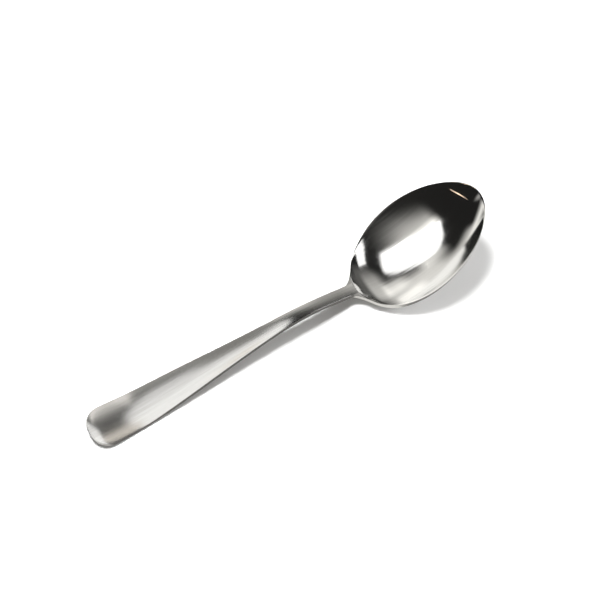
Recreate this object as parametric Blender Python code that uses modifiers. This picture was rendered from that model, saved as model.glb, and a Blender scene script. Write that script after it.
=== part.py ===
"""Soup spoon: bowl, neck and handle pressed from one strip of stainless steel.

Metres, +Z up. X runs along the spoon, from the end of the handle at -X to the tip of the bowl
at +X. The spoon lies on the plane z = 0, on the underside of its bowl and of its handle,
and its origin is on that plane, below the middle of its length.

Along the spoon, a station is the distance from the end of the handle.
"""

import math

import bmesh
import bpy

MM = 0.001

# The whole spoon
LENGTH = 200.0 * MM
EDGE_ROUND = 0.35 * MM          # rounding of the rim and of the handle's edges
EDGE_ANGLE = 35.0               # sharper corners than this are rounded, in degrees
EDGE_SEGMENTS = 2

# The bowl
BOWL_LENGTH = 65.5 * MM         # seen from above, from the neck to the tip
BOWL_WIDTH = 49.0 * MM
BOWL_DEPTH = 10.2 * MM          # below the rim, halfway along the bowl
BOWL_WALL = 1.3 * MM            # at the bottom, measured upright
BOWL_REST = 0.2 * MM            # depth ground flat on the underside where the bowl rests
RIM_EDGE = 2.2 * MM             # height of the rim's edge at the heel
RIM_EDGE_TIP = 1.0 * MM         # its height at the tip
RIM_THINNING = 35.0 * MM        # length over which it thins
RIM_ANGLE = 22.75               # the rim's rise towards the tip, in degrees
EGG_LEAN = -0.053               # below 0, the widest place lies nearer the neck
EGG_POINT = -0.071              # below 0, both ends are more pointed than an ellipse
DEPTH_LEAN = 0.35               # above 0, the deepest place lies nearer the tip
BOWL_SECTION = 2.2              # 2 is a parabola across the bowl, and more is fuller

# The neck, with the shoulders where the bowl widens from it
NECK_WIDTH = 5.8 * MM
NECK_THICKNESS = 3.9 * MM
NECK_SIDE = 2.1 * MM            # height of its two sides, above the rounded underside
NECK_LENGTH = 18.5 * MM         # the narrow stretch before the bowl
NECK_ANGLE = 10.9               # its fall towards the bowl, in degrees
NECK_BEND = 12.0 * MM           # half the length of the bend from the neck's fall to the rim's rise
NECK_BEND_IN_BOWL = 6.9 * MM    # from the bowl's start to the middle of that bend
SHOULDER_ON_NECK = 4.6 * MM
SHOULDER_ON_BOWL = 3.3 * MM
HEEL_ROUND = 1.2 * MM           # softness of the corner where neck and bowl meet underneath
HEEL_FADE = 20.0 * MM           # stretch before the bowl in which that corner fades out

# The handle
HANDLE_END_WIDTH = 20.1 * MM
HANDLE_END_ROUND = 9.2 * MM     # length of the rounded end
HANDLE_END_SQUARENESS = 2.15    # 2 is an ellipse, and more is squarer
HANDLE_REST = 0.15 * MM         # depth ground flat on the underside where the handle rests
END_THICKNESS = 2.5 * MM
EVEN_LENGTH = 30.0 * MM         # stretch from the end that keeps this thickness
CROWN_ANGLE = 10.5              # tilt of the rounded top at its two long edges, in degrees
UPTURN_ANGLE = 10.5             # how far the end turns up from the handle's own slope, in degrees
UPTURN_STATION = 22.0 * MM      # middle of that bend
UPTURN_BEND = 16.0 * MM         # half its length
PILLOW_DROP = 0.8 * MM          # the top is rounded down by this at the end
PILLOW_LENGTH = 10.6 * MM       # stretch of that rounding at the end
PILLOW_SIDES = 14.0 * MM        # and along the two sides
PILLOW_AT_SIDES = 0.5           # 0 leaves the sides as they are, and 1 rounds them as much as the end
PILLOW_POWER = 3.5              # more keeps the rounding nearer the edge
CREST_TO_BOWL = 27.0 * MM       # from the middle of the handle's bend to the bowl
CREST_BEND = 26.0 * MM          # half the length of that bend

STEEL_COLOUR = (0.60, 0.59, 0.57, 1.0)
STEEL_ROUGHNESS = 0.25

# Fineness of the surface: lines along the spoon in each stretch, and cells across it
END_LINES = 5
HANDLE_LINES = 20
NECK_LINES = 20
BOWL_LINES = 11
TIP_LINES = 7
CELLS_ACROSS = 16
EDGE_STRIP = 0.6 * MM           # width of the outermost cells, which hold the rounding
END_BOW = 1.2                   # lines bow out over this many lengths of the rounded end
TIP_BOW = 0.4                   # and over this share of the bowl's length
SEARCH_STEPS = 50               # halvings when a station or a slope is looked up
FLOOR_STEPS = 400               # stations tried when a part of the spoon is set on the table

# Stations and slopes that follow from these
HANDLE_LENGTH = LENGTH - BOWL_LENGTH
TAPER_END = HANDLE_LENGTH - NECK_LENGTH
SHOULDER_START = HANDLE_LENGTH - SHOULDER_ON_NECK
SHOULDER_END = HANDLE_LENGTH + SHOULDER_ON_BOWL
HEEL_END = SHOULDER_END + SHOULDER_ON_BOWL
CREST_STATION = HANDLE_LENGTH - CREST_TO_BOWL
BEND_STATION = HANDLE_LENGTH + NECK_BEND_IN_BOWL
NECK_FALL = math.tan(math.radians(NECK_ANGLE))
RIM_RISE = math.tan(math.radians(RIM_ANGLE))

# Where the outline turns from the sides to the two rounded ends
CORNER = 1.0 - math.cos(math.radians(45))
END_CORNER = HANDLE_END_ROUND * CORNER
TIP_CORNER = LENGTH - 0.5 * BOWL_LENGTH * CORNER


def even_steps(start, end, count):
    """Stations from start up to, but not at, end."""
    return [start + (end - start) * step / count for step in range(count)]


def soft_step(value, start, end):
    """Rises smoothly from 0 at start to 1 at end."""
    share = min(max((value - start) / (end - start), 0.0), 1.0)
    return share * share * (3.0 - 2.0 * share)


def soft_ramp(value, roundness):
    """The value where it is above 0, and 0 below, with the corner rounded."""
    return 0.5 * (value + math.sqrt(value * value + roundness * roundness))


def soft_bend(past, reach):
    """0 before a bend and the distance past it after, turning smoothly within its reach."""
    if abs(past) >= reach:
        return max(past, 0.0)
    wave = reach * (1.0 + math.cos(math.pi * past / reach)) / math.pi ** 2
    return 0.5 * (past + reach + (past * past - reach * reach) / (2.0 * reach) - wave)


def curve_between(station, start, end):
    """A cubic between two (station, value, slope) points."""
    length = end[0] - start[0]
    share = (station - start[0]) / length
    rise = share * share * (3.0 - 2.0 * share)
    leave = share * (1.0 - share) ** 2
    arrive = share * share * (share - 1.0)
    return start[1] + (end[1] - start[1]) * rise + length * (start[2] * leave + end[2] * arrive)


def slope_of(function, station):
    """Slope of a function of the station."""
    step = 0.01 * MM
    return (function(station + step) - function(station - step)) / (2.0 * step)


def oval_half_width(station):
    """Half the bowl's width seen from above, without its shoulders."""
    along = 2.0 * (station - HANDLE_LENGTH) / BOWL_LENGTH - 1.0
    if abs(along) >= 1.0:
        return 0.0
    egg = 1.0 + EGG_LEAN * along + EGG_POINT * along * along
    return 0.5 * BOWL_WIDTH * math.sqrt(1.0 - along * along) * egg


def taper_half_width(station):
    """Half the width between the two long sides of the handle."""
    share = min(max(station / TAPER_END, 0.0), 1.0)
    taper = 0.5 + 0.5 * math.cos(math.pi * share)
    return 0.5 * (NECK_WIDTH + (HANDLE_END_WIDTH - NECK_WIDTH) * taper)


def handle_half_width(station):
    """Half the handle's width seen from above, with its rounded end."""
    inward = min(max(1.0 - station / HANDLE_END_ROUND, 0.0), 1.0)
    rounded = (1.0 - inward ** HANDLE_END_SQUARENESS) ** (1.0 / HANDLE_END_SQUARENESS)
    return taper_half_width(station) * rounded


def half_width(station):
    """Half the spoon's width seen from above."""
    if station <= SHOULDER_START:
        return handle_half_width(station)
    if station >= SHOULDER_END:
        return oval_half_width(station)
    start = (SHOULDER_START, handle_half_width(SHOULDER_START), slope_of(handle_half_width, SHOULDER_START))
    end = (SHOULDER_END, oval_half_width(SHOULDER_END), slope_of(oval_half_width, SHOULDER_END))
    return curve_between(station, start, end)


def bowl_depth(station):
    """Depth of the hollow below the rim, along the middle of the bowl. Negative before the bowl."""
    share = max(station - HANDLE_LENGTH, -HEEL_FADE) / BOWL_LENGTH
    return BOWL_DEPTH * 4.0 * share * (1.0 - share) * (1.0 + DEPTH_LEAN * (2.0 * share - 1.0))


def end_to_neck(station, at_end, at_neck):
    """Goes smoothly from a size at the end of the handle to a size at the neck."""
    return at_end + (at_neck - at_end) * soft_step(station, EVEN_LENGTH, TAPER_END)


def thickness(station):
    """Thickness of the handle and the neck."""
    return end_to_neck(station, END_THICKNESS, NECK_THICKNESS)


def drop_to_underside(station):
    """From the top line down to the underside, along the middle of the spoon."""
    heel = bowl_depth(station) + BOWL_WALL - NECK_THICKNESS
    return thickness(station) + soft_ramp(heel, HEEL_ROUND)


def neck_and_rim(station):
    """Top line of the neck and of the bowl's rim, above the corner that they would meet in."""
    past = station - BEND_STATION
    return (NECK_FALL + RIM_RISE) * soft_bend(past, NECK_BEND) - NECK_FALL * past


def height_of_corner():
    """Height of that corner at which the bowl's underside just reaches the table."""
    stations = even_steps(HANDLE_LENGTH, LENGTH, FLOOR_STEPS)
    return max(drop_to_underside(station) - neck_and_rim(station) for station in stations) - BOWL_REST


CORNER_HEIGHT = height_of_corner()
CREST_HEIGHT = CORNER_HEIGHT + NECK_FALL * (BEND_STATION - CREST_STATION)


def handle_line(station, rise):
    """Top line of the handle: straight down from the crest, and then turned up a little at its end."""
    upturn = math.tan(math.radians(UPTURN_ANGLE)) * soft_bend(UPTURN_STATION - station, UPTURN_BEND)
    return CREST_HEIGHT - rise * (CREST_STATION - station) + upturn


def rise_of_handle():
    """Slope of the handle at which its underside just reaches the table."""
    stations = even_steps(0.0, CREST_STATION, FLOOR_STEPS)
    level = 0.0
    steep = 1.0
    for _ in range(SEARCH_STEPS):
        rise = 0.5 * (level + steep)
        lowest = min(handle_line(station, rise) - thickness(station) for station in stations)
        if lowest > -HANDLE_REST:
            level = rise
        else:
            steep = rise
    return level


HANDLE_RISE = rise_of_handle()


def top_line(station):
    """Height of the middle of the handle's top and of the neck, and then of the bowl's rim."""
    crest = (HANDLE_RISE + NECK_FALL) * soft_bend(station - CREST_STATION, CREST_BEND)
    rim = neck_and_rim(station) - NECK_FALL * (BEND_STATION - station)
    return handle_line(station, HANDLE_RISE) - crest + rim


def share_across(across, width):
    """How far out a point lies, from 0 in the middle to 1 at a half width."""
    if width <= 0.0:
        return 1.0
    return min(abs(across) / width, 1.0)


def crown(station, across):
    """How far the handle's top falls towards its long sides."""
    width = taper_half_width(station)
    on_handle = 1.0 - soft_step(station, SHOULDER_START, SHOULDER_END)
    return 0.5 * on_handle * width * math.tan(math.radians(CROWN_ANGLE)) * share_across(across, width) ** 2


def pillow(station, across):
    """How far the top is rounded down towards the handle's end and its corners."""
    inward = min(max(1.0 - station / PILLOW_LENGTH, 0.0), 1.0)
    aside = share_across(across, taper_half_width(station))
    sides = PILLOW_AT_SIDES * (1.0 - soft_step(station, 0.0, PILLOW_SIDES))
    outness = inward ** PILLOW_POWER + sides * aside ** PILLOW_POWER
    return PILLOW_DROP * outness * outness


def top_height(station, across):
    """Height of the top of the handle and of the inside of the bowl."""
    fullness = 1.0 - share_across(across, oval_half_width(station)) ** BOWL_SECTION
    hollow = max(bowl_depth(station), 0.0) * fullness
    return top_line(station) - crown(station, across) - pillow(station, across) - hollow


def underside_height(station, across):
    """Height of the underside, which is flat where the spoon rests."""
    drop = drop_to_underside(station)
    side = end_to_neck(station, END_THICKNESS, NECK_SIDE)
    rim_edge = RIM_EDGE + (RIM_EDGE_TIP - RIM_EDGE) * soft_step(station, HEEL_END, HEEL_END + RIM_THINNING)
    edge = side + (rim_edge - side) * soft_step(station, SHOULDER_START, HEEL_END)
    fullness = 1.0 - share_across(across, half_width(station)) ** BOWL_SECTION
    return max(top_line(station) - edge - (drop - edge) * fullness, 0.0)


def lines_across():
    """Lines across the spoon, as (station at its edge, bow towards the end, bow towards the tip).

    The lines are straight, but bow out at both ends until the last one is the end's own outline.
    """
    end_straight = END_BOW * HANDLE_END_ROUND
    tip_straight = LENGTH - TIP_BOW * BOWL_LENGTH
    neck_start = HANDLE_LENGTH - 0.5 * NECK_LENGTH
    edges = even_steps(END_CORNER, end_straight, END_LINES)
    edges += even_steps(end_straight, neck_start, HANDLE_LINES)
    edges += even_steps(neck_start, HEEL_END, NECK_LINES)
    edges += even_steps(HEEL_END, tip_straight, BOWL_LINES)
    edges += even_steps(tip_straight, TIP_CORNER, TIP_LINES)
    edges.append(TIP_CORNER)
    lines = []
    for edge in edges:
        end_bow = max(1.0 - (edge - END_CORNER) / (end_straight - END_CORNER), 0.0)
        tip_bow = max(1.0 - (TIP_CORNER - edge) / (TIP_CORNER - tip_straight), 0.0)
        lines.append((edge, end_bow, tip_bow))
    return lines


def outline_station(share, corner, end):
    """Station of the outline between a corner and an end, at a share of the corner's width."""
    width = share * half_width(corner)
    narrow = end
    wide = corner
    for _ in range(SEARCH_STEPS):
        middle = 0.5 * (narrow + wide)
        if half_width(middle) < width:
            narrow = middle
        else:
            wide = middle
    return 0.5 * (narrow + wide)


def plan_points():
    """Points of the spoon seen from above, as rows of (station, across), one row for each line."""
    spread = [2.0 * cell / (CELLS_ACROSS - 2) - 1.0 for cell in range(CELLS_ACROSS - 1)]
    rows = []
    for edge, end_bow, tip_bow in lines_across():
        width = half_width(edge)
        inside = [(width - EDGE_STRIP) * share for share in spread]
        row = []
        for across in [-width] + inside + [width]:
            share = abs(across) / width
            station = edge
            if end_bow:
                station -= end_bow * (END_CORNER - outline_station(share, END_CORNER, 0.0))
            if tip_bow:
                station += tip_bow * (outline_station(share, TIP_CORNER, LENGTH) - TIP_CORNER)
            row.append((station, across))
        rows.append(row)
    return rows


def pressed_strip(name):
    """The spoon as a closed mesh: a flat grid, cut to the outline, pressed and given its thickness."""
    rows = plan_points()
    last_row = len(rows) - 1
    strip = bmesh.new()
    bmesh.ops.create_grid(strip, x_segments=last_row, y_segments=CELLS_ACROSS, size=0.5)
    for vert in strip.verts:
        line = round((vert.co.x + 0.5) * last_row)
        cell = round((vert.co.y + 0.5) * CELLS_ACROSS)
        station, across = rows[line][cell]
        vert.co = (station - 0.5 * LENGTH, across, underside_height(station, across))
    raised = bmesh.ops.extrude_face_region(strip, geom=strip.faces[:])
    for vert in raised["geom"]:
        if isinstance(vert, bmesh.types.BMVert):
            vert.co.z = top_height(vert.co.x + 0.5 * LENGTH, vert.co.y)
    bmesh.ops.recalc_face_normals(strip, faces=strip.faces)
    mesh = bpy.data.meshes.new(name)
    strip.to_mesh(mesh)
    strip.free()
    return mesh


def steel():
    """Brushed stainless steel."""
    material = bpy.data.materials.new("stainless_steel")
    material.use_nodes = True
    shader = material.node_tree.nodes["Principled BSDF"]
    shader.inputs["Base Color"].default_value = STEEL_COLOUR
    shader.inputs["Metallic"].default_value = 1.0
    shader.inputs["Roughness"].default_value = STEEL_ROUGHNESS
    return material


def soup_spoon():
    """The spoon with its rounded edges."""
    spoon = bpy.data.objects.new("soup_spoon", pressed_strip("soup_spoon"))
    spoon.data.materials.append(steel())
    spoon.data.shade_smooth()
    rounding = spoon.modifiers.new("rounded_edges", "BEVEL")
    rounding.width = EDGE_ROUND
    rounding.segments = EDGE_SEGMENTS
    rounding.limit_method = "ANGLE"
    rounding.angle_limit = math.radians(EDGE_ANGLE)
    return spoon


def main():
    for old in list(bpy.data.objects):
        bpy.data.objects.remove(old)
    collection = bpy.data.collections.new("soup_spoon")
    bpy.context.scene.collection.children.link(collection)
    collection.objects.link(soup_spoon())


main()
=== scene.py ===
"""Looks of the soup spoon: one finely modelled piece of brushed steel, on a white table in a small studio.

Metres, +Z up. X runs along the spoon, from the end of the handle at -X to the tip of the bowl at +X,
and the table is the plane z = 0. Along the spoon, a station is the distance from the end of the handle.
A direction in the studio is a pair of angles in degrees, from straight up towards +X and towards +Y.
"""

import math

import bmesh
import bpy
from mathutils import Matrix, Vector


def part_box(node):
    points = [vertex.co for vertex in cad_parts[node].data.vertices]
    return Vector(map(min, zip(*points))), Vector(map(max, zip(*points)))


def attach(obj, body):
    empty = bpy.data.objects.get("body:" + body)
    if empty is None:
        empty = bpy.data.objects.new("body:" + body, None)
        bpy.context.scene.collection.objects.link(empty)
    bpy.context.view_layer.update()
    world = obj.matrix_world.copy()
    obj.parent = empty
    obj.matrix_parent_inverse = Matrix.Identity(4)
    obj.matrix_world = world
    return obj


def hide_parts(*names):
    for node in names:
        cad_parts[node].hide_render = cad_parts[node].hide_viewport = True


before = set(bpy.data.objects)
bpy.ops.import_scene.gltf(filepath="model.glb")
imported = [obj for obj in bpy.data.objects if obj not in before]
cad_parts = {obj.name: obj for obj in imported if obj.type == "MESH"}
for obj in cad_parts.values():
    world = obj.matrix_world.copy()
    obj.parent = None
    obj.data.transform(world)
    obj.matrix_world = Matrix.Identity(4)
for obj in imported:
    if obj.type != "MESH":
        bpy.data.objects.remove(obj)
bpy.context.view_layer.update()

MM = 0.001
LOW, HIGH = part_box("soup_spoon")

# The whole spoon
LENGTH = HIGH.x - LOW.x
EDGE_ROUND = 0.25 * MM
EDGE_SEGMENTS = 4
EDGE_ANGLE = 35.0               # edges that turn by more are rounded

# The bowl
BOWL_LENGTH = 65.5 * MM
BOWL_WIDTH = 49.0 * MM
BOWL_DEPTH = 10.2 * MM
BOWL_WALL = 1.3 * MM
BOWL_REST = 0.2 * MM            # what the flat on which it rests takes off its underside
BOWL_SECTION = 2.2
RIM_EDGE = 2.2 * MM
RIM_EDGE_TIP = 0.6 * MM
RIM_THINNING = 35.0 * MM
RIM_LAND = 0.1 * MM             # between the hollow and the outline
RIM_ANGLE = 22.75
EGG_LEAN = -0.053
EGG_POINT = -0.071
DEPTH_LEAN = 0.35
HOLLOW_ROUND = 0.12 * MM        # where the hollow meets the rim

# The start of the hollow, where it meets the neck: a steeper wall behind a low bead
HEEL_WALL = 0.2 * MM
HEEL_WALL_SPREAD = 0.8 * MM
HEEL_BEAD = 0.03 * MM
HEEL_BEAD_SPREAD = 0.1 * MM
HEEL_REACH = 9.0 * MM
HEEL_AHEAD = 0.4 * MM           # how much earlier the hollow starts
HEEL_NARROWING = 3.0            # how fast the bead ends towards the sides of the neck

# The neck and its shoulders
NECK_WIDTH = 5.8 * MM
NECK_THICKNESS = 3.9 * MM
NECK_SIDE = 2.1 * MM
NECK_LENGTH = 18.5 * MM
NECK_ANGLE = 10.9
NECK_BEND = 12.0 * MM
NECK_BEND_IN_BOWL = 6.9 * MM
SHOULDER_ON_NECK = 4.6 * MM
SHOULDER_ON_BOWL = 3.3 * MM
HEEL_ROUND = 1.2 * MM
HEEL_FADE = 20.0 * MM

# The handle
HANDLE_END_WIDTH = 20.1 * MM
HANDLE_END_ROUND = 9.2 * MM
HANDLE_END_SQUARENESS = 2.15
HANDLE_REST = 0.15 * MM         # what the flat on which it rests takes off its underside
END_THICKNESS = 2.5 * MM
EVEN_LENGTH = 30.0 * MM
CROWN_ANGLE = 10.5
UPTURN_ANGLE = 10.5
UPTURN_STATION = 22.0 * MM
UPTURN_BEND = 16.0 * MM
PILLOW_DROP = 0.8 * MM
PILLOW_LENGTH = 10.6 * MM
PILLOW_SIDES = 14.0 * MM
PILLOW_AT_SIDES = 0.5
PILLOW_POWER = 3.5
CREST_TO_BOWL = 27.0 * MM
CREST_BEND = 26.0 * MM

# Fineness of the surface
END_LINES = 24
HANDLE_LINES = 110
NECK_LINES = 140
BOWL_LINES = 70
TIP_LINES = 40
CELLS_ACROSS = 72
EDGE_STRIP = 0.55 * MM          # width of the outermost cells
END_BOW = 1.2                   # how far the lines across bow, as a share of the end's round
TIP_BOW = 0.4                   # and as a share of the bowl's length
SEARCH_STEPS = 50
FLOOR_STEPS = 400
SLOPE_STEP = 0.01 * MM

# Stations and slopes that follow from these
HANDLE_LENGTH = LENGTH - BOWL_LENGTH
TAPER_END = HANDLE_LENGTH - NECK_LENGTH
SHOULDER_START = HANDLE_LENGTH - SHOULDER_ON_NECK
SHOULDER_END = HANDLE_LENGTH + SHOULDER_ON_BOWL
HEEL_END = SHOULDER_END + SHOULDER_ON_BOWL
CREST_STATION = HANDLE_LENGTH - CREST_TO_BOWL
BEND_STATION = HANDLE_LENGTH + NECK_BEND_IN_BOWL
NECK_FALL = math.tan(math.radians(NECK_ANGLE))
RIM_RISE = math.tan(math.radians(RIM_ANGLE))
CORNER = 1.0 - math.cos(math.radians(45))
END_CORNER = HANDLE_END_ROUND * CORNER
TIP_CORNER = LENGTH - 0.5 * BOWL_LENGTH * CORNER

# The steel, whose finish changes between places along X
HANDLE_COLOUR = (0.52, 0.515, 0.50, 1.0)
HANDLE_WORN = (0.47, 0.464, 0.447, 1.0)
BOWL_COLOUR = (0.81, 0.805, 0.785, 1.0)
BOWL_WORN = (0.77, 0.763, 0.742, 1.0)
HANDLE_TO_BOWL = (0.024, 0.040)
HANDLE_ROUGHNESS = 0.175
BOWL_ROUGHNESS = 0.10
TO_SMOOTH_TIP = (0.084, 0.093)
TIP_ROUGHNESS = 0.5             # as a share of the bowl's
BROAD_STREAKS = (60.0 * MM, 1.3 * MM, 2.0)      # length, width and detail of the noise
FINE_STREAKS = (22.0 * MM, 0.3 * MM, 3.0)
MIDDLE_NOISE = 0.5
WORN_NOISE = (0.35, 0.7)        # of the fine streaks, from fresh to worn steel
WORN_ROUGHNESS = 0.05
GRAIN_DEPTH = 0.03 * MM
FINE_GRAIN = 0.3                # as a share of the broad grain
HANDLE_GRAIN = 0.6
BOWL_GRAIN = 1.0
TO_PLAIN_TIP = (0.06, 0.09)
TIP_GRAIN = 0.1                 # as a share of the bowl's
BRUSHING = 0.65                 # how far reflections are drawn out across the grain
BRUSHING_TURN = 0.25            # of a full turn, from along the grain to across it

# The table and the backdrop
TABLE_RADIUS = 1.0
TABLE_COLOUR = (0.88, 0.88, 0.88, 1.0)
TABLE_ROUGHNESS = 0.9
BACKDROP_RADIUS = 2.5
BACKDROP_RADIANCE = 1.0
ROUND_SEGMENTS = 96
WHITE = (1.0, 1.0, 1.0)

# The point around which the studio is set up
BOWL_CENTRE = Vector((0.062, 0.0, 0.004))

# Far screens that the steel mirrors: their outlines, as directions from the bowl
SCREEN_DISTANCE = 4.0
SOFTBOX_LOW = ((0.8, -3.5), (6, 20), (-45.5, 20), (-48.5, 9), (-31, -0.5), (-13, -4))
SOFTBOX_HIGH = ((6, 20), (7, 25), (1, 32.5), (-15, 42), (-25, 45), (-33, 41), (-42.5, 29.5), (-45.5, 20))
STRIP = ((21, 2), (38, 5), (33, -8), (27, -18), (16, -34), (3, -34), (8, -20), (14, -10))
WARM_SLIT = ((-68.5, -23), (-70.17, -10), (-70.77, 0), (-70.57, 10), (-68.9, 26),
             (-70.49, 10), (-70.58, 0), (-70.09, -10))
# Each screen: name, outline, radiance, colour
SCREENS = (
    ("softbox_low", SOFTBOX_LOW, 1.78, WHITE),
    ("softbox_high", SOFTBOX_HIGH, 1.38, WHITE),
    ("strip_light", STRIP, 1.4, WHITE),
    ("warm_slit", WARM_SLIT, 8.0, (1.0, 0.78, 0.58)),
)

# Small glowing cards high above the handle, edge on to the bowl, which show only in the steel: how they
# lean, and their distances from the bowl
CARD_LEAN = -19.3
CARD_LOW = 0.26
CARD_HIGH = 0.37
# Each card: name, y of its near and far sides, radiance, colour
CARDS = (
    ("near_card", 0.030, 0.080, 1.45, (1.0, 0.94, 0.86)),
    ("far_card", 0.27, 0.46, 1.5, (1.0, 0.97, 0.94)),
)

# Glowing grey cards close over the handle, which cast no shadow and show only in the steel, in the plane x +
# z = FLAG_PLANE, whose backs the bowl looks through
FLAG_PLANE = 0.04
# Each flag: name, x and y of its corners, radiance, and its fading ends, as x where it is seen and clear
FLAGS = (
    ("far_flag", ((-0.063, 0.167), (0.001, 0.051), (0.001, 0.009), (-0.063, 0.061)), 0.37,
     ((-0.042, -0.062), (-0.020, 0.0))),
    ("near_flag", ((-0.095, -0.02), (0.001, -0.005), (0.001, -0.30), (-0.095, -1.10)), 0.65, ()),
)

# The room. Of a direction, right and far are the two angles, tilt is the angle from straight up, and
# far_right and far_left run diagonally
ROOM_COLOUR = (1.0, 0.985, 0.95)
ROOM_DARK = 0.016
FAR_RIGHT = (0.8, 0.6)          # shares of right and far
LEAST_SINE = 0.001              # keeps the angles defined straight up
ABOVE = ("tilt", 92, 88)
# Each lit part of the room: radiance, then its edges, as an angle with where it is dark and where it is lit
LIT_PARTS = (
    # The far wall and the ceiling towards it
    (0.72, ("right", -36, -15), ("right", 44, 2), ("far", 33, 63), ABOVE),
    (0.60, ("right", -38, -28), ("right", -7, -16), ("far", 34, 42), ("far", 64, 44)),
    (0.11, ("far_right", 18, 36), ("far", -5, 14), ("right", 68, 54), ABOVE),
    (0.45, ("right", 8, 26), ("right", 50, 38), ("far", 8, 40), ("far", 70, 50)),
    # The ceiling over the handle, beside the softbox
    (0.68, ("right", -52, -42), ("right", 4, -24), ("far", -50, 0), ("far", 20, 6), ("far_right", -64, -34)),
    (0.80, ("right", -52, -44), ("right", 2, -6), ("far", -9, 2), ("far", 20, 6)),
    # Low on the far left
    (0.78, ("right", -54, -45), ("right", -14, -36), ("tilt", 74, 93), ("tilt", 106, 97),
     ("far_left", 0, 45)),
    (0.72, ("right", -45, -54), ("tilt", 84, 92), ("tilt", 99, 92), ("far", 0, 30)),
    (0.40, ("right", -68, -71.5), ("far", 36, 42), ("tilt", 92, 86)),
    # The near wall, the right wall and the corner between them
    (0.75, ("far", -57, -67), ABOVE),
    (0.60, ("right", 70, 80), ABOVE),
    (0.45, ("far_left", -58, -78), ABOVE),
    # Low on the far wall
    (0.48, ("right", -6, 3), ("right", 22, 12), ("far", 66, 73), ("tilt", 96, 84)),
    # What the steel mirrors below the horizon instead of the table: a painted reflection of it, dark grey
    # like the table in shade, lighter deep down towards -X like the lit table
    (0.60, ("right", -60, -110), ("tilt", 95, 120)),
    (0.23, ("tilt", 88, 92)),
    # High on the far wall
    (0.50, ("right", -2, 6), ("right", 28, 16), ("far", 32, 43), ("far", 64, 52)),
)

# Each lamp for the table: name, direction from the bowl, distance, size, radiance
LAMPS = (
    ("key", (0.0, 19.0), 1.5, 0.45, 49.0),
    ("side_fill", (79.0, 5.0), 3.0, 0.8, 78.0),
    ("far_fill", (68.0, 39.0), 3.0, 0.8, 20.0),
)

# The photograph's camera
IMAGE_SIZE = 600
CAMERA_AZIMUTH = -18.994
CAMERA_ELEVATION = 60.0
CAMERA_ROLL = 11.6
CAMERA_DISTANCE = 0.7
CAMERA_CLIP_START = 0.01
PIXELS_PER_METRE = 2236.0       # at the origin's distance
ORIGIN_PIXEL = (289.96, 328.93)
SENSOR = 36.0                   # in mm, like the lens


# Shape


def even_steps(start, end, count):
    """Stations from start up to, but not at, end."""
    return [start + (end - start) * step / count for step in range(count)]


def soft_step(value, start, end):
    """Rises smoothly from 0 at start to 1 at end."""
    share = min(max((value - start) / (end - start), 0.0), 1.0)
    return share * share * (3.0 - 2.0 * share)


def soft_ramp(value, roundness):
    """The value where it is above 0, and 0 below, with the corner rounded."""
    return 0.5 * (value + math.sqrt(value * value + roundness * roundness))


def soft_bend(past, reach):
    """0 before a bend and the distance past it after, turning smoothly within its reach."""
    if abs(past) >= reach:
        return max(past, 0.0)
    wave = reach * (1.0 + math.cos(math.pi * past / reach)) / math.pi ** 2
    return 0.5 * (past + reach + (past * past - reach * reach) / (2.0 * reach) - wave)


def curve_between(station, start, end):
    """A cubic between two (station, value, slope) points."""
    length = end[0] - start[0]
    share = (station - start[0]) / length
    rise = share * share * (3.0 - 2.0 * share)
    leave = share * (1.0 - share) ** 2
    arrive = share * share * (share - 1.0)
    return start[1] + (end[1] - start[1]) * rise + length * (start[2] * leave + end[2] * arrive)


def slope_of(function, station):
    """Slope of a function of the station."""
    return (function(station + SLOPE_STEP) - function(station - SLOPE_STEP)) / (2.0 * SLOPE_STEP)


def oval_half_width(station):
    """Half the bowl's width seen from above, without its shoulders."""
    along = 2.0 * (station - HANDLE_LENGTH) / BOWL_LENGTH - 1.0
    if abs(along) >= 1.0:
        return 0.0
    egg = 1.0 + EGG_LEAN * along + EGG_POINT * along * along
    return 0.5 * BOWL_WIDTH * math.sqrt(1.0 - along * along) * egg


def taper_half_width(station):
    """Half the width between the two long sides of the handle."""
    share = min(max(station / TAPER_END, 0.0), 1.0)
    taper = 0.5 + 0.5 * math.cos(math.pi * share)
    return 0.5 * (NECK_WIDTH + (HANDLE_END_WIDTH - NECK_WIDTH) * taper)


def handle_half_width(station):
    """Half the handle's width seen from above, with its rounded end."""
    inward = min(max(1.0 - station / HANDLE_END_ROUND, 0.0), 1.0)
    rounded = (1.0 - inward ** HANDLE_END_SQUARENESS) ** (1.0 / HANDLE_END_SQUARENESS)
    return taper_half_width(station) * rounded


def half_width(station):
    """Half the spoon's width seen from above."""
    if station <= SHOULDER_START:
        return handle_half_width(station)
    if station >= SHOULDER_END:
        return oval_half_width(station)
    start = (SHOULDER_START, handle_half_width(SHOULDER_START), slope_of(handle_half_width, SHOULDER_START))
    end = (SHOULDER_END, oval_half_width(SHOULDER_END), slope_of(oval_half_width, SHOULDER_END))
    return curve_between(station, start, end)


def bowl_depth(station):
    """Depth of the hollow below the rim, along the middle of the bowl. Negative before the bowl."""
    share = max(station - HANDLE_LENGTH, -HEEL_FADE) / BOWL_LENGTH
    return BOWL_DEPTH * 4.0 * share * (1.0 - share) * (1.0 + DEPTH_LEAN * (2.0 * share - 1.0))


def end_to_neck(station, at_end, at_neck):
    """Goes smoothly from a size at the end of the handle to a size at the neck."""
    return at_end + (at_neck - at_end) * soft_step(station, EVEN_LENGTH, TAPER_END)


def thickness(station):
    """Thickness of the handle and the neck."""
    return end_to_neck(station, END_THICKNESS, NECK_THICKNESS)


def drop_to_underside(station):
    """From the top line down to the underside, along the middle of the spoon."""
    heel = bowl_depth(station) + BOWL_WALL - NECK_THICKNESS
    return thickness(station) + soft_ramp(heel, HEEL_ROUND)


def neck_and_rim(station):
    """Top line of the neck and of the bowl's rim, above the corner that they would meet in."""
    past = station - BEND_STATION
    return (NECK_FALL + RIM_RISE) * soft_bend(past, NECK_BEND) - NECK_FALL * past


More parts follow.
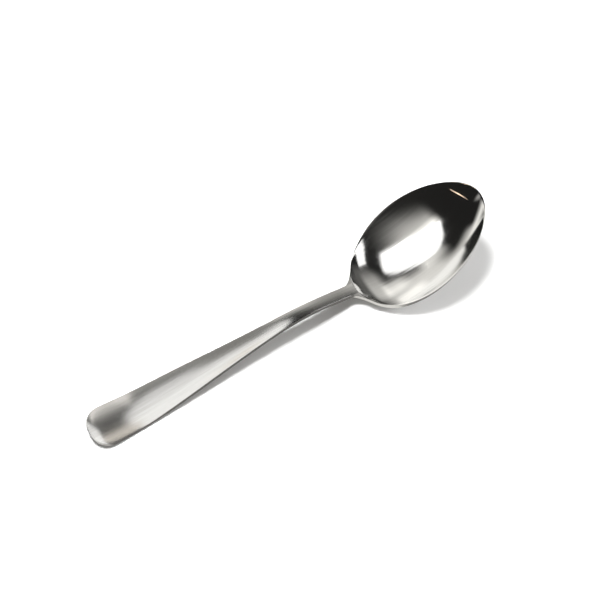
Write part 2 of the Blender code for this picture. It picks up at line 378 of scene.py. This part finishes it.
def height_of_corner():
    """Height of that corner at which the bowl's underside just reaches the table."""
    stations = even_steps(HANDLE_LENGTH, LENGTH, FLOOR_STEPS)
    return max(drop_to_underside(station) - neck_and_rim(station) for station in stations) - BOWL_REST


CORNER_HEIGHT = height_of_corner()
CREST_HEIGHT = CORNER_HEIGHT + NECK_FALL * (BEND_STATION - CREST_STATION)


def handle_line(station, rise):
    """Top line of the handle, straight from the crest down to its end, which turns up a little."""
    upturn = math.tan(math.radians(UPTURN_ANGLE)) * soft_bend(UPTURN_STATION - station, UPTURN_BEND)
    return CREST_HEIGHT - rise * (CREST_STATION - station) + upturn


def rise_of_handle():
    """Slope of the handle at which its underside just reaches the table."""
    stations = even_steps(0.0, CREST_STATION, FLOOR_STEPS)
    level = 0.0
    steep = 1.0
    for _ in range(SEARCH_STEPS):
        rise = 0.5 * (level + steep)
        lowest = min(handle_line(station, rise) - thickness(station) for station in stations)
        if lowest > -HANDLE_REST:
            level = rise
        else:
            steep = rise
    return level


HANDLE_RISE = rise_of_handle()


def top_line(station):
    """Height of the middle of the handle's top and of the neck, and then of the bowl's rim."""
    crest = (HANDLE_RISE + NECK_FALL) * soft_bend(station - CREST_STATION, CREST_BEND)
    rim = neck_and_rim(station) - NECK_FALL * (BEND_STATION - station)
    return handle_line(station, HANDLE_RISE) - crest + rim


def share_across(across, width):
    """How far out a point lies, from 0 in the middle to 1 at a half width."""
    if width <= 0.0:
        return 1.0
    return min(abs(across) / width, 1.0)


def hollow(station, across):
    """Depth of the bowl's hollow at a point, with a small round where it meets the rim.

    Where it meets the neck, it starts with a steeper wall behind a low bead.
    """
    at_heel = 1.0 - soft_step(station, HANDLE_LENGTH, HANDLE_LENGTH + HEEL_REACH)
    ahead = station + HEEL_AHEAD * at_heel
    width = min(oval_half_width(ahead), half_width(station)) - RIM_LAND
    if width > 0.0:
        dip = bowl_depth(ahead) * (1.0 - (abs(across) / width) ** BOWL_SECTION)
    else:
        dip = min(bowl_depth(ahead), 0.0) - HEEL_NARROWING * abs(across)
    wall = HEEL_WALL * (1.0 - math.exp(-max(dip, 0.0) / HEEL_WALL_SPREAD))
    bead = HEEL_BEAD * math.exp(-(dip / HEEL_BEAD_SPREAD) ** 2)
    return soft_ramp(dip, HOLLOW_ROUND) + at_heel * (wall - bead)


def crown(station, across):
    """How far the handle's top falls towards its long sides."""
    width = taper_half_width(station)
    on_handle = 1.0 - soft_step(station, SHOULDER_START, SHOULDER_END)
    return 0.5 * on_handle * width * math.tan(math.radians(CROWN_ANGLE)) * share_across(across, width) ** 2


def pillow(station, across):
    """How far the top is rounded down towards the handle's end and its corners."""
    inward = min(max(1.0 - station / PILLOW_LENGTH, 0.0), 1.0)
    aside = share_across(across, taper_half_width(station))
    sides = PILLOW_AT_SIDES * (1.0 - soft_step(station, 0.0, PILLOW_SIDES))
    outness = inward ** PILLOW_POWER + sides * aside ** PILLOW_POWER
    return PILLOW_DROP * outness * outness


def top_height(station, across):
    """Height of the top of the handle and of the inside of the bowl."""
    return top_line(station) - crown(station, across) - pillow(station, across) - hollow(station, across)


def underside_height(station, across):
    """Height of the underside, which is flat where the spoon rests."""
    drop = drop_to_underside(station)
    rim_edge = RIM_EDGE + (RIM_EDGE_TIP - RIM_EDGE) * soft_step(station, HEEL_END, HEEL_END + RIM_THINNING)
    side = end_to_neck(station, END_THICKNESS, NECK_SIDE)
    edge = side + (rim_edge - side) * soft_step(station, SHOULDER_START, HEEL_END)
    fullness = 1.0 - share_across(across, half_width(station)) ** BOWL_SECTION
    return max(top_line(station) - edge - (drop - edge) * fullness, 0.0)


def lines_across():
    """Lines across the spoon, as (station at its edge, bow towards the end, bow towards the tip).

    The lines are straight, but bow out at both ends until the last one is the end's own outline.
    """
    end_straight = END_BOW * HANDLE_END_ROUND
    tip_straight = LENGTH - TIP_BOW * BOWL_LENGTH
    neck_start = HANDLE_LENGTH - 0.5 * NECK_LENGTH
    edges = even_steps(END_CORNER, end_straight, END_LINES)
    edges += even_steps(end_straight, neck_start, HANDLE_LINES)
    edges += even_steps(neck_start, HEEL_END, NECK_LINES)
    edges += even_steps(HEEL_END, tip_straight, BOWL_LINES)
    edges += even_steps(tip_straight, TIP_CORNER, TIP_LINES)
    edges.append(TIP_CORNER)
    lines = []
    for edge in edges:
        end_bow = max(1.0 - (edge - END_CORNER) / (end_straight - END_CORNER), 0.0)
        tip_bow = max(1.0 - (TIP_CORNER - edge) / (TIP_CORNER - tip_straight), 0.0)
        lines.append((edge, end_bow, tip_bow))
    return lines


def outline_station(share, corner, end):
    """Station of the outline between a corner and an end, at a share of the corner's width."""
    width = share * half_width(corner)
    narrow = end
    wide = corner
    for _ in range(SEARCH_STEPS):
        middle = 0.5 * (narrow + wide)
        if half_width(middle) < width:
            narrow = middle
        else:
            wide = middle
    return 0.5 * (narrow + wide)


def plan_points():
    """Points of the spoon seen from above, as rows of (station, across), one row for each line."""
    spread = [2.0 * cell / (CELLS_ACROSS - 2) - 1.0 for cell in range(CELLS_ACROSS - 1)]
    rows = []
    for edge, end_bow, tip_bow in lines_across():
        width = half_width(edge)
        inside = [(width - EDGE_STRIP) * share for share in spread]
        row = []
        for across in [-width] + inside + [width]:
            share = abs(across) / width
            station = edge
            if end_bow:
                station -= end_bow * (END_CORNER - outline_station(share, END_CORNER, 0.0))
            if tip_bow:
                station += tip_bow * (outline_station(share, TIP_CORNER, LENGTH) - TIP_CORNER)
            row.append((station, across))
        rows.append(row)
    return rows


def finished_mesh(name, form):
    """The mesh of a form, which is freed."""
    mesh = bpy.data.meshes.new(name)
    form.to_mesh(mesh)
    form.free()
    return mesh


def pressed_strip(name):
    """The spoon as a closed mesh: a flat grid, cut to the outline, pressed and given its thickness."""
    rows = plan_points()
    last_row = len(rows) - 1
    strip = bmesh.new()
    bmesh.ops.create_grid(strip, x_segments=last_row, y_segments=CELLS_ACROSS, size=0.5)
    for vert in strip.verts:
        line = round((vert.co.x + 0.5) * last_row)
        cell = round((vert.co.y + 0.5) * CELLS_ACROSS)
        station, across = rows[line][cell]
        vert.co = (station + LOW.x, across, underside_height(station, across))
    raised = bmesh.ops.extrude_face_region(strip, geom=strip.faces[:])
    for vert in raised["geom"]:
        if isinstance(vert, bmesh.types.BMVert):
            vert.co.z = top_height(vert.co.x - LOW.x, vert.co.y)
    bmesh.ops.recalc_face_normals(strip, faces=strip.faces)
    brushing = strip.loops.layers.uv.new("brushing")
    for face in strip.faces:
        for loop in face.loops:
            loop[brushing].uv = ((loop.vert.co.x - LOW.x) / LENGTH, loop.vert.co.y / LENGTH + 0.5)
    mesh = finished_mesh(name, strip)
    mesh.shade_smooth()
    return mesh


# Materials


class Nodes:
    """Short way to add nodes to a tree."""

    MIX_INPUTS = (0, 6, 7)      # a mix node's share and its two colours
    MIX_OUTPUT = 2

    def __init__(self, tree):
        self.tree = tree

    def add(self, kind, **settings):
        """A new node with these settings."""
        node = self.tree.nodes.new(kind)
        for name, value in settings.items():
            setattr(node, name, value)
        return node

    def put(self, node, socket, value):
        """Sets a node's input to a value, or links it to another node's output."""
        if isinstance(value, bpy.types.NodeSocket):
            self.tree.links.new(value, node.inputs[socket])
        else:
            node.inputs[socket].default_value = value

    def position(self, kind):
        """Where a point lies, and its X, Y and Z."""
        place = self.add("ShaderNodeTexCoord").outputs[kind]
        parts = self.add("ShaderNodeSeparateXYZ")
        self.put(parts, 0, place)
        return place, parts.outputs

    def math(self, operation, *values):
        """The result of a math node."""
        node = self.add("ShaderNodeMath", operation=operation)
        for socket, value in enumerate(values):
            self.put(node, socket, value)
        return node.outputs["Value"]

    def fade(self, value, start, end, low=0.0, high=1.0):
        """Goes smoothly from low at start to high at end."""
        node = self.add("ShaderNodeMapRange", interpolation_type="SMOOTHSTEP")
        sockets = ("Value", "From Min", "From Max", "To Min", "To Max")
        for socket, number in zip(sockets, (value, start, end, low, high)):
            self.put(node, socket, number)
        return node.outputs["Result"]

    def blend(self, share, first, second):
        """Goes from one colour to another."""
        node = self.add("ShaderNodeMix", data_type="RGBA")
        for socket, value in zip(self.MIX_INPUTS, (share, first, second)):
            self.put(node, socket, value)
        return node.outputs[self.MIX_OUTPUT]

    def streaks(self, place, long, wide, detail):
        """Noise from 0 to 1, drawn out along the spoon."""
        stretch = self.add("ShaderNodeMapping")
        self.put(stretch, "Vector", place)
        self.put(stretch, "Scale", (1.0 / long, 1.0 / wide, 1.0 / long))
        noise = self.add("ShaderNodeTexNoise")
        self.put(noise, "Vector", stretch.outputs["Vector"])
        self.put(noise, "Scale", 1.0)
        self.put(noise, "Detail", detail)
        return noise.outputs["Fac"]


def new_material(name):
    """A new material and its nodes."""
    material = bpy.data.materials.new(name)
    material.use_nodes = True
    return material, Nodes(material.node_tree)


def brushed_steel():
    """Stainless steel brushed along the spoon: satin on the handle and polished in the bowl."""
    material, nodes = new_material("stainless_steel")
    shader = nodes.tree.nodes["Principled BSDF"]
    place, parts = nodes.position("Object")
    polish = nodes.fade(parts["X"], *HANDLE_TO_BOWL)
    broad = nodes.streaks(place, *BROAD_STREAKS)
    fine = nodes.streaks(place, *FINE_STREAKS)

    colour = nodes.blend(polish, HANDLE_COLOUR, BOWL_COLOUR)
    worn = nodes.blend(polish, HANDLE_WORN, BOWL_WORN)
    nodes.put(shader, "Base Color", nodes.blend(nodes.fade(fine, *WORN_NOISE), colour, worn))
    nodes.put(shader, "Metallic", 1.0)

    satin = nodes.fade(polish, 0.0, 1.0, HANDLE_ROUGHNESS, BOWL_ROUGHNESS)
    wear = nodes.math("MULTIPLY", nodes.math("SUBTRACT", broad, MIDDLE_NOISE), WORN_ROUGHNESS)
    tip_polish = nodes.fade(parts["X"], *TO_SMOOTH_TIP, 1.0, TIP_ROUGHNESS)
    nodes.put(shader, "Roughness", nodes.math("MULTIPLY", nodes.math("ADD", satin, wear), tip_polish))

    grain = nodes.add("ShaderNodeBump")
    nodes.put(grain, "Distance", GRAIN_DEPTH)
    ridges = nodes.math("ADD", nodes.math("MULTIPLY", fine, FINE_GRAIN), broad)
    strength = nodes.math("MULTIPLY", nodes.fade(polish, 0.0, 1.0, HANDLE_GRAIN, BOWL_GRAIN),
                          nodes.fade(parts["X"], *TO_PLAIN_TIP, 1.0, TIP_GRAIN))
    nodes.put(grain, "Height", nodes.math("MULTIPLY", ridges, strength))
    nodes.put(shader, "Normal", grain.outputs["Normal"])

    nodes.put(shader, "Anisotropic", BRUSHING)
    nodes.put(shader, "Anisotropic Rotation", BRUSHING_TURN)
    tangent = nodes.add("ShaderNodeTangent", direction_type="UV_MAP", uv_map="brushing")
    nodes.put(shader, "Tangent", tangent.outputs["Tangent"])
    return material


def white_paper():
    """Dull white paper."""
    material, nodes = new_material("white_paper")
    shader = nodes.tree.nodes["Principled BSDF"]
    nodes.put(shader, "Base Color", TABLE_COLOUR)
    nodes.put(shader, "Roughness", TABLE_ROUGHNESS)
    nodes.put(shader, "Specular IOR Level", 0.0)
    return material


def glow(name, colour, radiance):
    """An even glow."""
    material, nodes = new_material(name)
    nodes.tree.nodes.clear()
    emission = nodes.add("ShaderNodeEmission")
    nodes.put(emission, "Color", (*colour, 1.0))
    nodes.put(emission, "Strength", radiance)
    nodes.put(nodes.add("ShaderNodeOutputMaterial"), "Surface", emission.outputs["Emission"])
    return material


# Spoon and studio


def add_object(name, data):
    """A new object in the scene."""
    thing = bpy.data.objects.new(name, data)
    bpy.context.scene.collection.objects.link(thing)
    return thing


def add_spoon():
    """The spoon with its rounded edges."""
    spoon = add_object("spoon", pressed_strip("spoon"))
    spoon.data.materials.append(brushed_steel())
    rounding = spoon.modifiers.new("rounded_edges", "BEVEL")
    rounding.width = EDGE_ROUND
    rounding.segments = EDGE_SEGMENTS
    rounding.limit_method = "ANGLE"
    rounding.angle_limit = math.radians(EDGE_ANGLE)
    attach(spoon, "root")
    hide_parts("soup_spoon")


def add_table():
    """A white table top."""
    disc = bmesh.new()
    bmesh.ops.create_circle(disc, cap_ends=True, segments=ROUND_SEGMENTS, radius=TABLE_RADIUS)
    floor = add_object("table", finished_mesh("table", disc))
    floor.data.materials.append(white_paper())
    # The steel does not mirror the table; the room paints the table's reflection below the horizon instead.
    floor.visible_glossy = False


def add_backdrop():
    """A pale dome behind the table, which only the camera sees."""
    dome = bmesh.new()
    bmesh.ops.create_uvsphere(dome, u_segments=ROUND_SEGMENTS, v_segments=ROUND_SEGMENTS // 2,
                              radius=BACKDROP_RADIUS)
    backdrop = add_object("backdrop", finished_mesh("backdrop", dome))
    backdrop.data.shade_smooth()
    backdrop.data.materials.append(glow("pale_backdrop", WHITE, BACKDROP_RADIANCE))
    backdrop.visible_diffuse = False
    backdrop.visible_glossy = False
    backdrop.visible_shadow = False


def add_room():
    """A dark room whose walls and ceiling catch some light, with a painted reflection of the table below the
    horizon.
    """
    world = bpy.data.worlds.new("room")
    world.use_nodes = True
    bpy.context.scene.world = world
    nodes = Nodes(world.node_tree)
    _, parts = nodes.position("Generated")
    angle = nodes.math("ARCCOSINE", parts["Z"])
    tilt = nodes.math("DEGREES", angle)
    spread = nodes.math("DIVIDE", tilt, nodes.math("MAXIMUM", nodes.math("SINE", angle), LEAST_SINE))
    right = nodes.math("MULTIPLY", parts["X"], spread)
    far = nodes.math("MULTIPLY", parts["Y"], spread)
    right_part = nodes.math("MULTIPLY", right, FAR_RIGHT[0])
    far_part = nodes.math("MULTIPLY", far, FAR_RIGHT[1])
    angles = {
        "tilt": tilt,
        "right": right,
        "far": far,
        "far_right": nodes.math("ADD", right_part, far_part),
        "far_left": nodes.math("SUBTRACT", far, right),
    }
    total = ROOM_DARK
    for radiance, *edges in LIT_PARTS:
        light = radiance
        for name, dark, lit in edges:
            light = nodes.math("MULTIPLY", nodes.fade(angles[name], dark, lit), light)
        total = nodes.math("ADD", total, light)
    background = nodes.tree.nodes["Background"]
    nodes.put(background, "Color", (*ROOM_COLOUR, 1.0))
    nodes.put(background, "Strength", total)


def sky_direction(right, far):
    """Direction at so many degrees from straight up, towards +X and towards +Y."""
    tilt = math.radians(math.hypot(right, far))
    turn = math.atan2(far, right)
    return Vector((math.sin(tilt) * math.cos(turn), math.sin(tilt) * math.sin(turn), math.cos(tilt)))


def add_panel(name, points, radiance, colour):
    """A flat glowing panel that shows only in the steel."""
    mesh = bpy.data.meshes.new(name)
    mesh.from_pydata(points, [], [tuple(range(len(points)))])
    mesh.materials.append(glow(name, colour, radiance))
    panel = add_object(name, mesh)
    panel.visible_camera = False
    panel.visible_diffuse = False
    panel.visible_shadow = False
    return panel


def add_screen(name, corners, radiance, colour):
    """A far screen that the steel mirrors, with its corners in these directions from the bowl."""
    rays = [sky_direction(*corner) for corner in corners]
    facing = sum(rays, Vector()).normalized()
    points = [BOWL_CENTRE + ray * (SCREEN_DISTANCE / ray.dot(facing)) for ray in rays]
    add_panel(name, points, radiance, colour)


def add_card(name, near, far, radiance, colour):
    """A small glowing card high above the handle, which lies edge on to the bowl."""
    leaning = sky_direction(CARD_LEAN, 0.0)
    aside = Vector((0.0, 1.0, 0.0))
    places = ((CARD_LOW, near), (CARD_HIGH, near), (CARD_HIGH, far), (CARD_LOW, far))
    points = [BOWL_CENTRE + leaning * along + aside * across for along, across in places]
    add_panel(name, points, radiance, colour)


def add_flag(name, corners, radiance, clear_ends):
    """A glowing grey card close to the handle, which only the handle sees. Towards its clear ends it fades
    out.
    """
    points = [(along, across, FLAG_PLANE - along) for along, across in corners]
    panel = add_panel(name, points, radiance, ROOM_COLOUR)
    nodes = Nodes(panel.data.materials[0].node_tree)
    emission = nodes.tree.nodes["Emission"].outputs["Emission"]
    _, parts = nodes.position("Object")
    clearness = nodes.add("ShaderNodeNewGeometry").outputs["Backfacing"]
    for seen, clear in clear_ends:
        clearness = nodes.math("MAXIMUM", clearness, nodes.fade(parts["X"], seen, clear))
    nothing = nodes.add("ShaderNodeBsdfTransparent").outputs["BSDF"]
    sides = nodes.add("ShaderNodeMixShader")
    for socket, value in enumerate((clearness, emission, nothing)):
        nodes.put(sides, socket, value)
    nodes.put(nodes.tree.nodes["Material Output"], "Surface", sides.outputs["Shader"])


def add_lamp(name, toward, distance, size, radiance):
    """A square lamp for the table, turned to the bowl. It shows in no reflection."""
    back = sky_direction(*toward)
    lamp = bpy.data.lights.new(name, "AREA")
    lamp.size = size
    lamp.energy = radiance * math.pi * size * size
    holder = add_object(name, lamp)
    turn = back.to_track_quat("Z", "Y").to_matrix().to_4x4()
    holder.matrix_world = Matrix.Translation(BOWL_CENTRE + back * distance) @ turn
    holder.visible_camera = False
    holder.visible_glossy = False


def add_studio():
    """What the steel mirrors besides the room, and what lights the table."""
    for screen in SCREENS:
        add_screen(*screen)
    for card in CARDS:
        add_card(*card)
    for flag in FLAGS:
        add_flag(*flag)
    for lamp in LAMPS:
        add_lamp(*lamp)


def add_camera():
    """The photograph's camera, turned so that the spoon's origin falls on its pixel."""
    azimuth = math.radians(CAMERA_AZIMUTH)
    elevation = math.radians(CAMERA_ELEVATION)
    roll = math.radians(CAMERA_ROLL)
    back = Vector((math.sin(azimuth) * math.cos(elevation), -math.cos(azimuth) * math.cos(elevation),
                   math.sin(elevation)))
    level = Vector((math.cos(azimuth), math.sin(azimuth), 0.0))
    upright = back.cross(level)
    right = level * math.cos(roll) - upright * math.sin(roll)
    up = level * math.sin(roll) + upright * math.cos(roll)
    focal_pixels = PIXELS_PER_METRE * CAMERA_DISTANCE
    aside = 0.5 * IMAGE_SIZE - ORIGIN_PIXEL[0]
    above = ORIGIN_PIXEL[1] - 0.5 * IMAGE_SIZE
    aim = (-back * focal_pixels + right * aside + up * above).normalized()
    turn = (-back).rotation_difference(aim).to_matrix()
    axes = Matrix((turn @ right, turn @ up, -aim)).transposed().to_4x4()
    camera = add_object("camera", bpy.data.cameras.new("camera"))
    camera.data.sensor_width = SENSOR
    camera.data.lens = SENSOR * focal_pixels / IMAGE_SIZE
    camera.data.clip_start = CAMERA_CLIP_START
    camera.matrix_world = Matrix.Translation(back * CAMERA_DISTANCE) @ axes
    bpy.context.scene.camera = camera


add_spoon()
add_table()
add_backdrop()
add_room()
add_studio()
add_camera()
bpy.context.scene.view_settings.view_transform = "Standard"
